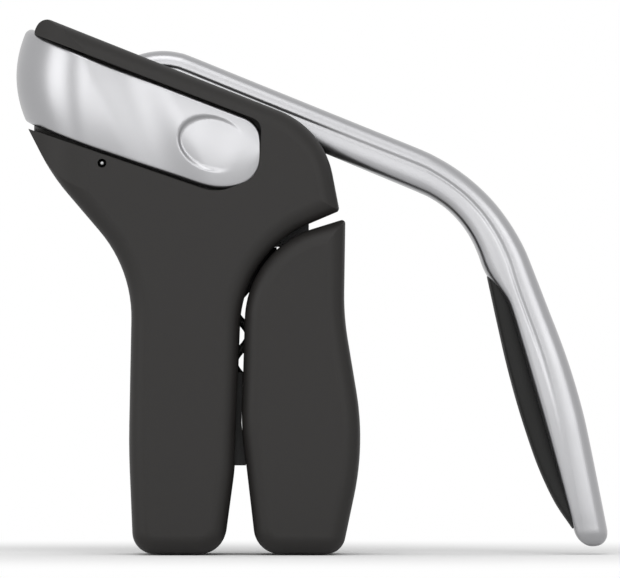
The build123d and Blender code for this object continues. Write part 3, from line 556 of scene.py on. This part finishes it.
@dataclass
class SatinLever:
    """The cast lever: a round hub, and an arm with a fine crease along each side.

    Attributes:
        pivot: the lever's axle in the side view.
        hub: inner and outer radius of the round hub.
        hub_angles: angles at which the hub ends and at which the arm leaves it.
        straight: outer and inner ends of the arm's straight run.
        bend: outer and inner points round the bend.
        handle: outer and inner points down the handle.
        half_width: half the lever's width.
        crease_inset: how far the crease lies from the outer side, at the hub, the bend and the handle's end.
        crease_depth: depth of the crease.
        crease_lip: half the crease's width as a share of the depth.
        crease_shares: the crease's depth at points across it, as shares of the full depth.
        crease_power: how sharply the crease dips.
        crease_limit: the furthest that the crease goes, as a share of the depth.
        crease_drop: where along the lever the crease starts to move inwards, and over what share.
        crease_fade: where along the lever the crease starts to fade, and over what share.
        web: bore and outer radius of the web between the gears.
        web_half: half the web's thickness.
        tip_length: length of the rounded tip.
        rounding: how full the section is above the crease: 1 is round, less is squarer.
        side_tilt: how far the flat side above the crease leans in, as a share of the width.
        under_rounding: how full it is below the crease.
        narrowing: how far the lever has narrowed where the tip starts, as a share of its width.
        narrow_run: where along the lever it starts to narrow, and over what share.
        hub_steps: steps round the hub.
        arm_steps: steps along the straight run.
        side_steps: steps round each side of a section.
        tip_steps: steps round the tip.
        tip_turn: how far round the tip the last section lies.
        tip_power: how fast the tip closes in the side view.
        tip_width_power: how fast its width closes against that.
        look_back: sections from the tip over which its direction is taken.
        web_steps: steps round the web.
    """

    pivot: SidePoint = (-26.7, 145.2)
    hub: tuple[float, float] = (12.7, 25.5)
    hub_angles: tuple[float, float] = (150.0, 67.95)
    straight: tuple[SidePoint, SidePoint] = ((60.98, 137.19), (60.53, 122.48))
    bend: tuple[tuple[SidePoint, SidePoint], ...] = (
        ((66.6, 134.5), (65.1, 120.2)), ((72.0, 131.3), (69.3, 117.3)), ((77.1, 127.6), (73.0, 113.8)),
        ((81.8, 123.5), (76.1, 109.9)), ((86.2, 118.9), (78.5, 105.9)), ((90.2, 113.7), (80.5, 101.4)),
        ((93.7, 108.2), (82.0, 97.2)), ((96.7, 102.4), (83.9, 93.6)), ((99.5, 95.4), (86.9, 89.8)),
        ((102.3, 88.2), (89.9, 85.6)))
    handle: tuple[tuple[SidePoint, SidePoint], ...] = (
        ((104.9, 81.5), (91.9, 80.1)), ((107.8, 74.1), (93.9, 73.2)), ((110.9, 65.5), (96.3, 65.0)),
        ((113.7, 56.6), (98.9, 56.2)), ((116.3, 47.1), (101.7, 46.7)), ((118.6, 36.6), (104.9, 35.8)),
        ((120.9, 25.2), (108.3, 24.2)), ((122.9, 15.2), (111.3, 14.0)), ((124.2, 8.6), (113.1, 7.8)))
    half_width: float = 11.5
    crease_inset: tuple[float, float, float] = (5.4, 6.0, 8.8)
    crease_depth: float = 0.45
    crease_lip: float = 0.09
    crease_shares: tuple[float, ...] = (0.35, 0.65, 1.0, 0.65, 0.35)
    crease_power: float = 1.4
    crease_limit: float = 0.8
    crease_drop: tuple[float, float] = (0.5, 0.42)
    crease_fade: tuple[float, float] = (0.75, 0.2)
    web: tuple[float, float] = (3.05, 19.8)
    web_half: float = 7.5
    tip_length: float = 6.0
    rounding: float = 0.42
    side_tilt: float = 0.09
    under_rounding: float = 0.42
    narrowing: float = 0.14
    narrow_run: tuple[float, float] = (0.86, 0.2)
    hub_steps: int = 9
    arm_steps: int = 5
    side_steps: int = 12
    tip_steps: int = 8
    tip_turn: float = 0.98
    tip_power: float = 0.9
    tip_width_power: float = 0.45
    look_back: int = 6
    web_steps: int = 72

    def rails(self) -> list[tuple[Vector, Vector]]:
        """Outer and inner points along the lever, from the hub's end to the start of the tip.

        Returns:
            Pairs of side view points in millimetres.
        """
        centre = Vector(self.pivot)
        start, stop = self.hub_angles
        pairs = []
        for i in range(self.hub_steps + 1):
            angle = math.radians(start + (stop - start) * i / self.hub_steps)
            out = Vector((math.cos(angle), math.sin(angle)))
            pairs.append((centre + out * self.hub[1], centre + out * self.hub[0]))
        first_outer, first_inner = pairs[-1]
        for i in range(1, self.arm_steps + 1):
            outer = first_outer.lerp(Vector(self.straight[0]), i / self.arm_steps)
            inner = first_inner.lerp(Vector(self.straight[1]), i / self.arm_steps)
            pairs.append((outer, inner))
        pairs += [(Vector(outer), Vector(inner)) for outer, inner in self.bend + self.handle]
        outer_line = smooth_line([outer for outer, _ in pairs])
        inner_line = smooth_line([inner for _, inner in pairs])
        return list(zip(outer_line, inner_line))

    def section(self, crease: float, fade: float) -> list[SidePoint]:
        """One half of the cross-section.

        Args:
            crease: where the crease runs, as a share of the depth from the outer side.
            fade: how strongly the crease shows, from 0 to 1.

        Returns:
            Pairs of the distance from the middle plane in millimetres and the share of the depth.
        """
        wide = self.half_width
        lip = self.crease_lip
        groove = self.crease_depth * fade
        points = []
        for i in range(self.side_steps + 1):
            turn = math.pi / 2 * i / self.side_steps
            rise = math.cos(turn) ** self.rounding
            across = wide * math.sin(turn) ** self.rounding * (1 - self.side_tilt * rise)
            points.append((across, (crease - lip) * (1 - rise)))
        middle = (len(self.crease_shares) + 1) / 2
        for step, share in enumerate(self.crease_shares, 1):
            points.append((wide - groove * share ** self.crease_power, crease - lip + lip * step / middle))
        for i in range(self.side_steps + 1):
            turn = math.pi / 2 * i / self.side_steps
            across = wide * math.cos(turn) ** self.under_rounding
            points.append((across, crease + lip + (1 - crease - lip) * math.sin(turn) ** self.under_rounding))
        return points

    def ring(self, outer: Vector, inner: Vector, along: float, shrink: float) -> list[Vector]:
        """The closed cross-section at one place.

        Args:
            outer: its outer point in the side view.
            inner: its inner point.
            along: place along the lever, from 0 to 1.
            shrink: size against the full section, for the rounded tip.

        Returns:
            Points in metres.
        """
        hub, bend, end = self.crease_inset
        start, length = self.crease_drop
        drop = smooth_step((along - start) / length)
        inset = hub + (bend - hub) * min(along / start, 1.0) + (end - bend) * drop
        crease = min(inset / (outer - inner).length, self.crease_limit)
        start, length = self.crease_fade
        half = self.section(crease, 1 - smooth_step((along - start) / length))
        middle = (outer + inner) / 2
        start, length = self.narrow_run
        slim = (1 - self.narrowing * smooth_step((along - start) / length)) * shrink ** self.tip_width_power
        points = []
        for side in Side:
            order = half if side is Side.FAR else list(reversed(half))
            for across, depth in order:
                place = middle + (outer.lerp(inner, depth) - middle) * shrink
                points.append(Vector((place.x, side.value * across * slim, place.y)) * MM)
        return points

    def build(self, material: bpy.types.Material) -> bpy.types.Object:
        """Make the lever with the web between its gears.

        Args:
            material: its finish.

        Returns:
            The piece, standing for the plain solid.
        """
        pairs = self.rails()
        count = len(pairs)
        rings = [self.ring(outer, inner, i / (count - 1), 1.0) for i, (outer, inner) in enumerate(pairs)]
        outer, inner = pairs[-1]
        before = pairs[-self.look_back]
        ahead = ((outer + inner) - (before[0] + before[1])).normalized()
        for i in range(1, self.tip_steps + 1):
            turn = math.pi / 2 * i / self.tip_steps * self.tip_turn
            move = ahead * self.tip_length * math.sin(turn)
            rings.append(self.ring(outer + move, inner + move, 1.0, math.cos(turn) ** self.tip_power))
        build = bmesh.new()
        skin_rings(build, rings)
        self.add_web(build)
        piece = mesh_object("cast_lever", build, material)
        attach(piece, "lever")
        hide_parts("lever_arm")
        return piece

    def add_web(self, build: bmesh.types.BMesh) -> None:
        """Add the round web between the gears.

        Args:
            build: the mesh that gets its faces.
        """
        bore, rim = self.web
        profile = [(bore, -self.web_half), (rim, -self.web_half), (rim, self.web_half), (bore, self.web_half)]
        rings = []
        for i in range(self.web_steps + 1):
            angle = 2 * math.pi * i / self.web_steps
            out = Vector((math.cos(angle), 0, math.sin(angle)))
            axis = Vector((self.pivot[0], 0, self.pivot[1]))
            rings.append([(axis + out * r + Vector((0, y, 0))) * MM for r, y in profile])
        skin_rings(build, rings, capped=False)


@dataclass
class GripPad:
    """The crowned rubber pad on the inner side of the lever.

    Attributes:
        inner_line: side view points along the edge that the fingers touch.
        back_line: side view points along the lever's seat, opposite to them.
        half_width: half the pad's width at its middle.
        crown: how far the sides fall away from the crest.
        side_points: points in each section.
        end_share: share of the pad's length that each rounded end takes.
        end_width: width of the ends as a share of the full width.
        fullness: how full a section is: 1 is round, less is squarer.
        depth_limit: how much of the pad's depth the fall of the sides may take.
        back_share: width of the back as a share of the full width.
        body: the body that the pad rides on.
    """

    inner_line: tuple[SidePoint, ...] = (
        (83.4, 94.0), (84.7, 88.0), (86.9, 77.9), (89.7, 65.6), (92.9, 53.4), (96.7, 41.0), (101.0, 28.9),
        (106.4, 17.4), (112.4, 8.4))
    back_line: tuple[SidePoint, ...] = (
        (86.0, 94.6), (91.6, 88.4), (94.2, 78.8), (97.6, 67.0), (101.0, 54.6), (104.6, 42.4), (108.4, 30.0),
        (112.0, 18.4), (114.6, 9.4))
    half_width: float = 9.0 * MM
    crown: float = 2.4 * MM
    side_points: int = 24
    end_share: float = 0.06
    end_width: float = 0.9
    fullness: float = 0.55
    depth_limit: float = 0.8
    back_share: float = 0.94
    body: str = "lever"

    def build(self, material: bpy.types.Material) -> bpy.types.Object:
        """Make the pad.

        Args:
            material: its finish.

        Returns:
            The piece, standing for the plain solid.
        """
        inner = [point * MM for point in smooth_line([Vector(p) for p in self.inner_line])]
        back = [point * MM for point in smooth_line([Vector(p) for p in self.back_line])]
        rings = []
        count = len(inner)
        for i, (front, rear) in enumerate(zip(inner, back)):
            share = i / (count - 1)
            ends = min(share, 1 - share) / self.end_share
            narrow = math.sqrt(max(1 - (1 - min(ends, 1.0)) ** 2, 0.0))
            half = self.half_width * (self.end_width + (1 - self.end_width) * narrow)
            depth = rear - front
            ring = []
            for j in range(self.side_points + 1):
                turn = math.pi * j / self.side_points
                y = -half * math.copysign(abs(math.cos(turn)) ** self.fullness, math.cos(turn))
                rise = abs(math.sin(turn)) ** self.fullness
                sunk = min(self.crown, depth.length * self.depth_limit) * (1 - rise)
                point = front + depth.normalized() * sunk
                ring.append(Vector((point.x, y, point.y)))
            ring.append(Vector((rear.x, half * self.back_share, rear.y)))
            ring.append(Vector((rear.x, -half * self.back_share, rear.y)))
            rings.append(ring)
        build = bmesh.new()
        skin_rings(build, rings)
        piece = mesh_object("lever_grip_pad", build, material)
        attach(piece, self.body)
        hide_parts("lever_pad")
        return piece


@dataclass
class Fasteners:
    """Screws and domed pins, placed by node trees.

    Attributes:
        head_radius: radius of a screw's head.
        head_height: height of the head.
        shank_radius: radius of a screw's shank.
        socket_radius: radius of the hexagon socket, corner to centre.
        socket_depth: depth of the socket.
        seat_y: where the heads sit across the tool.
        tip_y: where the shanks end.
        body_places: side view places of the screws in the fixed half shells.
        jaw_places: the same for the moving grip.
        pin_place: side view place of the small domed pins.
        pin_radius: their radius.
        pin_span: where they start and end, from the middle plane.
        head_edge: size of the broken edge of a head.
        edge_share: where the middle of that edge lies.
        dome_share: height of a pin's dome as a share of its radius.
        dome_steps: steps up the dome.
        screw_steps: steps round a screw.
        pin_steps: steps round a pin.
    """

    head_radius: float = 2.8 * MM
    head_height: float = 1.8 * MM
    shank_radius: float = 1.5 * MM
    socket_radius: float = 1.5 * MM
    socket_depth: float = 1.1 * MM
    seat_y: float = 17.0 * MM
    tip_y: float = -13.0 * MM
    body_places: tuple[SidePoint, ...] = ((-28.0, 14.0), (-27.0, 74.0), (-57.0, 129.0), (28.0, 122.0))
    jaw_places: tuple[SidePoint, ...] = ((29.0, 18.0), (28.5, 66.0))
    pin_place: SidePoint = (-47.1, 132.4)
    pin_radius: float = 1.0 * MM
    pin_span: tuple[float, float] = (13.2 * MM, 24.2 * MM)
    head_edge: float = 0.35 * MM
    edge_share: float = 0.3
    dome_share: float = 0.9
    dome_steps: int = 6
    screw_steps: int = 48
    pin_steps: int = 32

    def screw_mesh(self) -> bpy.types.Mesh:
        """One socket screw along +Y with its head's seat at the origin.

        Returns:
            The mesh.
        """
        edge = self.head_edge
        nick = edge * self.edge_share
        top = self.head_height
        profile = [(0.0, self.tip_y - self.seat_y), (self.shank_radius, self.tip_y - self.seat_y),
                   (self.shank_radius, 0.0), (self.head_radius, 0.0), (self.head_radius, top - edge),
                   (self.head_radius - nick, top - nick), (self.head_radius - edge, top)]
        count = self.screw_steps
        rings = [self.round_ring(radius, y, count) for radius, y in profile]
        for y in (top, top - self.socket_depth):
            rings.append([self.hexagon(2 * math.pi * i / count, y) for i in range(count)])
        rings.append(self.round_ring(0.0, top - self.socket_depth, count))
        return self.turned_mesh("socket_screw", rings)

    def round_ring(self, radius: float, y: float, count: int) -> list[Vector]:
        """Points of a circle round the Y axis."""
        angles = [2 * math.pi * i / count for i in range(count)]
        return [Vector((radius * math.cos(angle), y, radius * math.sin(angle))) for angle in angles]

    def turned_mesh(self, name: str, rings: Sequence[Sequence[Vector]]) -> bpy.types.Mesh:
        """Skin rings into a closed mesh.

        Args:
            name: the mesh's name.
            rings: its rings, of which the first and last lie in one point.

        Returns:
            The mesh.
        """
        build = bmesh.new()
        skin_rings(build, rings, capped=False)
        return closed_mesh(name, build, FINE_GAP)

    def hexagon(self, angle: float, y: float) -> Vector:
        """A point of the socket's hexagon.

        Args:
            angle: its direction.
            y: its place along the screw.

        Returns:
            The point.
        """
        sector = math.pi / 3
        inside = (angle + sector / 2) % sector - sector / 2
        reach = self.socket_radius * math.cos(sector / 2) / math.cos(inside)
        return Vector((reach * math.cos(angle), y, reach * math.sin(angle)))

    def pin_mesh(self) -> bpy.types.Mesh:
        """One pin along +Y with a domed end, its inner end at the origin.

        Returns:
            The mesh.
        """
        length = self.pin_span[1] - self.pin_span[0]
        dome = self.pin_radius * self.dome_share
        profile = [(0.0, 0.0), (self.pin_radius, 0.0), (self.pin_radius, length - dome)]
        for i in range(1, self.dome_steps + 1):
            turn = math.pi / 2 * i / self.dome_steps
            profile.append((self.pin_radius * math.cos(turn), length - dome + dome * math.sin(turn)))
        rings = [self.round_ring(radius, y, self.pin_steps) for radius, y in profile]
        return self.turned_mesh("domed_pin", rings)

    def set_out(
        self,
        name: str,
        part: bpy.types.Mesh,
        places: Sequence[tuple[Vector, float]],
        material: bpy.types.Material,
    ) -> bpy.types.Object:
        """Place copies of a part on points with a node tree and make the result one plain mesh.

        Args:
            name: the piece's name.
            part: the mesh to repeat.
            places: points and the turn about Z of the copy on each.
            material: the finish.

        Returns:
            The piece.
        """
        sample = bpy.data.objects.new(name + "_sample", part)
        points = bpy.data.meshes.new(name + "_points")
        points.from_pydata([tuple(place) for place, _ in places], [], [])
        turns = points.attributes.new("turn", "FLOAT", "POINT")
        turns.data.foreach_set("value", [turn for _, turn in places])
        carrier = bpy.data.objects.new(name + "_carrier", points)
        bpy.context.scene.collection.objects.link(carrier)
        tree = bpy.data.node_groups.new(name + "_tree", "GeometryNodeTree")
        keys = {}
        kinds = {"Geometry": "Geometry", "Size": "Float", "Part": "Object", "Finish": "Material"}
        for label, kind in kinds.items():
            socket = tree.interface.new_socket(label, in_out="INPUT", socket_type="NodeSocket" + kind)
            keys[label] = socket.identifier
        tree.interface.new_socket("Geometry", in_out="OUTPUT", socket_type="NodeSocketGeometry")
        given = add_node(tree, "NodeGroupInput")
        shape = add_node(tree, "GeometryNodeObjectInfo", links=[(given.outputs["Part"], "Object")])
        turn = add_node(tree, "GeometryNodeInputNamedAttribute", {"data_type": "FLOAT"},
                        inputs={"Name": "turn"})
        spin = add_node(tree, "ShaderNodeCombineXYZ", links=[(turn.outputs["Attribute"], "Z")])
        copies = add_node(tree, "GeometryNodeInstanceOnPoints",
                          links=[(given.outputs["Geometry"], "Points"),
                                 (shape.outputs["Geometry"], "Instance"),
                                 (spin.outputs["Vector"], "Rotation"), (given.outputs["Size"], "Scale")])
        real = add_node(tree, "GeometryNodeRealizeInstances",
                        links=[(copies.outputs["Instances"], "Geometry")])
        dressed = add_node(tree, "GeometryNodeSetMaterial",
                           links=[(real.outputs["Geometry"], "Geometry"),
                                  (given.outputs["Finish"], "Material")])
        add_node(tree, "NodeGroupOutput", links=[(dressed.outputs["Geometry"], "Geometry")])
        modifier = carrier.modifiers.new(name, "NODES")
        modifier.node_group = tree
        for label, value in (("Size", 1.0), ("Part", sample), ("Finish", material)):
            modifier[keys[label]] = value
        graph = bpy.context.evaluated_depsgraph_get()
        mesh = bpy.data.meshes.new_from_object(carrier.evaluated_get(graph))
        carrier.modifiers.clear()
        bpy.data.objects.remove(carrier)
        bpy.data.objects.remove(sample)
        if not mesh.materials:
            mesh.materials.append(material)
        piece = bpy.data.objects.new(name, mesh)
        bpy.context.scene.collection.objects.link(piece)
        return piece

    def build(self, material: bpy.types.Material) -> list[bpy.types.Object]:
        """Make the screws of both grips and the domed pins.

        Args:
            material: their finish.

        Returns:
            The pieces.
        """
        screw = self.screw_mesh()
        pieces = []
        for name, places, body, node in (
            ("body_socket_screws", self.body_places, "frame", "shell_screws"),
            ("grip_socket_screws", self.jaw_places, "moving_grip", "jaw_screws"),
        ):
            spots = [(Vector((x * MM, self.seat_y, z * MM)), 0.0) for x, z in places]
            piece = self.set_out(name, screw, spots, material)
            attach(piece, body)
            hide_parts(node)
            pieces.append(piece)
        x, z = self.pin_place
        spots = []
        for side in Side:
            turn = 0.0 if side is Side.FAR else math.pi
            spots.append((Vector((x * MM, side.value * self.pin_span[0], z * MM)), turn))
        pins = self.set_out("domed_pins", self.pin_mesh(), spots, material)
        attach(pins, "frame")
        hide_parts("head_pins")
        return [*pieces, pins]


@dataclass
class CadDress:
    """Finishes of the solids that show as they are.

    Attributes:
        finishes: a finish for each material slot of the record.
    """

    finishes: dict[str, bpy.types.Material] = field(default_factory=dict)

    def build(self, nodes: dict[str, bpy.types.Object], record: dict) -> int:
        """Give every solid the finish of its slot.

        Args:
            nodes: the solids by name.
            record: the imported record.

        Returns:
            How many solids were dressed.
        """
        for part in record["subparts"]:
            solid = nodes[part["node"]]
            solid.data.materials.clear()
            solid.data.materials.append(self.finishes[part["material_slot"]])
        return len(record["subparts"])


@dataclass
class Studio:
    """A white floor and backdrop, soft lamps and a long lens at the photograph's angle.

    Attributes:
        pixel: size of one of the photograph's pixels at the tool.
        width: the photograph's width in pixels.
        centre: what the middle of the picture looks at, in X and Z.
        lens: focal length in millimetres.
        sensor: the sensor's width in millimetres.
        floor_half: half the floor's edge.
        paper_reach: where the bare paper starts to run out into white, and where it ends.
        floor_drop: how far the floor lies below the tool's feet.
        soft: strength of the light from all round on the tool.
        white: strength of the white that is seen and mirrored.
        lamps: name, place, edge length and power in watts of each lamp.
    """

    pixel: float = 0.34 * MM
    width: int = 620
    centre: tuple[float, float] = (23.3 * MM, 89.8 * MM)
    lens: float = 900.0
    sensor: float = 36.0
    floor_half: float = 1.2
    paper_reach: tuple[float, float] = (0.12, 0.32)
    floor_drop: float = 0.0004
    soft: float = 0.65
    white: float = 1.0
    lamps: tuple[tuple[str, Point, float, float], ...] = (
        ("left", (-1.05, -0.8, 0.36), 0.75, 3.6), ("front", (-0.16, -1.3, 0.3), 0.55, 1.9),
        ("right", (0.6, -1.15, 0.3), 0.6, 2.3), ("top", (0.0, -0.75, 0.95), 0.65, 3.0))

    def build(self) -> None:
        """Make the camera, the lamps, the world and the floor."""
        scene = bpy.context.scene
        scene.view_settings.view_transform = "Standard"
        lens = bpy.data.cameras.new("camera")
        lens.lens = self.lens
        lens.sensor_width = self.sensor
        camera = bpy.data.objects.new("camera", lens)
        distance = self.pixel * self.width / self.sensor * self.lens
        camera.location = (self.centre[0], -distance, self.centre[1])
        camera.rotation_euler = (math.pi / 2, 0, 0)
        scene.collection.objects.link(camera)
        scene.camera = camera
        for name, place, size, power in self.lamps:
            self.lamp(name, place, size, power)
        self.world()
        self.floor()

    def lamp(self, name: str, place: Point, size: float, power: float) -> None:
        """Hang one square soft lamp that looks at the tool.

        Args:
            name: the lamp's name.
            place: where it hangs.
            size: its edge length.
            power: its power in watts.
        """
        light = bpy.data.lights.new(name, "AREA")
        light.shape = "SQUARE"
        light.size = size
        light.energy = power
        lamp = bpy.data.objects.new(name, light)
        lamp.location = place
        aim = Vector((self.centre[0], 0, self.centre[1])) - Vector(place)
        lamp.rotation_euler = aim.to_track_quat("-Z", "Y").to_euler()
        bpy.context.scene.collection.objects.link(lamp)

    def seen(self, tree: bpy.types.NodeTree) -> bpy.types.NodeSocket:
        """Whether a ray comes from the camera, a mirror or glass.

        Args:
            tree: the tree that gets the nodes.

        Returns:
            A socket that is 1 for such a ray.
        """
        path = add_node(tree, "ShaderNodeLightPath")
        total = path.outputs["Is Camera Ray"]
        for name in ("Is Glossy Ray", "Is Transmission Ray"):
            step = add_node(tree, "ShaderNodeMath", {"operation": "MAXIMUM"},
                            [(total, 0), (path.outputs[name], 1)])
            total = step.outputs["Value"]
        return total

    def world(self) -> None:
        """Light from all round at a plain level, seen as white behind the tool and in its reflections."""
        world = bpy.data.worlds.new("studio")
        bpy.context.scene.world = world
        world.use_nodes = True
        tree = world.node_tree
        tree.nodes.clear()
        colour = linear("#ffffff")
        soft = add_node(tree, "ShaderNodeBackground", inputs={"Color": colour, "Strength": self.soft})
        white = add_node(tree, "ShaderNodeBackground", inputs={"Color": colour, "Strength": self.white})
        mix = add_node(tree, "ShaderNodeMixShader",
                       links=[(self.seen(tree), "Fac"), (soft.outputs["Background"], 1),
                              (white.outputs["Background"], 2)])
        add_node(tree, "ShaderNodeOutputWorld", links=[(mix.outputs["Shader"], "Surface")])

    def floor(self) -> None:
        """A white paper floor that keeps the tool's shadow and runs out into the white backdrop."""
        build = bmesh.new()
        half = self.floor_half
        corners = [(-half, -half), (half, -half), (half, half), (-half, half)]
        build.faces.new([build.verts.new((x, y, -self.floor_drop)) for x, y in corners])
        mesh = bpy.data.meshes.new("floor")
        build.to_mesh(mesh)
        build.free()
        material = bpy.data.materials.new("white_paper")
        material.use_nodes = True
        tree = material.node_tree
        tree.nodes.clear()
        place = add_node(tree, "ShaderNodeTexCoord")
        reach = add_node(tree, "ShaderNodeVectorMath", {"operation": "LENGTH"},
                         [(place.outputs["Object"], "Vector")])
        fade = add_node(tree, "ShaderNodeMapRange", {"interpolation_type": "SMOOTHSTEP"},
                        [(reach.outputs["Value"], "Value")],
                        {"From Min": self.paper_reach[0], "From Max": self.paper_reach[1]})
        share = add_node(tree, "ShaderNodeMath", {"operation": "MULTIPLY"},
                         [(fade.outputs["Result"], 0), (self.seen(tree), 1)])
        paper = add_node(tree, "ShaderNodeBsdfDiffuse", inputs={"Color": linear("#fbfbfb")})
        white = add_node(tree, "ShaderNodeEmission", inputs={"Strength": self.white})
        mix = add_node(tree, "ShaderNodeMixShader",
                       links=[(share.outputs["Value"], "Fac"), (paper.outputs["BSDF"], 1),
                              (white.outputs["Emission"], 2)])
        add_node(tree, "ShaderNodeOutputMaterial", links=[(mix.outputs["Shader"], "Surface")])
        mesh.materials.append(material)
        floor = bpy.data.objects.new("floor", mesh)
        bpy.context.scene.collection.objects.link(floor)


def main() -> None:
    """Dress the tool and set up the studio."""
    logging.basicConfig(level=logging.INFO)
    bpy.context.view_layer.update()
    soft, rubber, alloy = SOFT_TOUCH.build(), RUBBER.build(), SATIN_ALLOY.build()
    steel, wire, nylon = TURNED_STEEL.build(), COATED_WIRE.build(), NYLON.build()
    dress = CadDress({"soft_black": soft, "black_rubber": rubber, "satin_alloy": alloy, "plain_steel": steel,
                      "dark_nylon": nylon, "coated_wire": wire})
    LOG.info("solids dressed: %d", dress.build(frame["nodes"], frame["record"]))
    pieces = [FoilCutter().build(alloy), SatinLever().build(alloy), GripPad().build(rubber),
              *CuttingWheels().build(steel), *Fasteners().build(steel)]
    for piece in pieces:
        LOG.info("%s: %d faces", piece.name, len(piece.data.polygons))
    Studio().build()


if __name__ == "__main__":
    main()
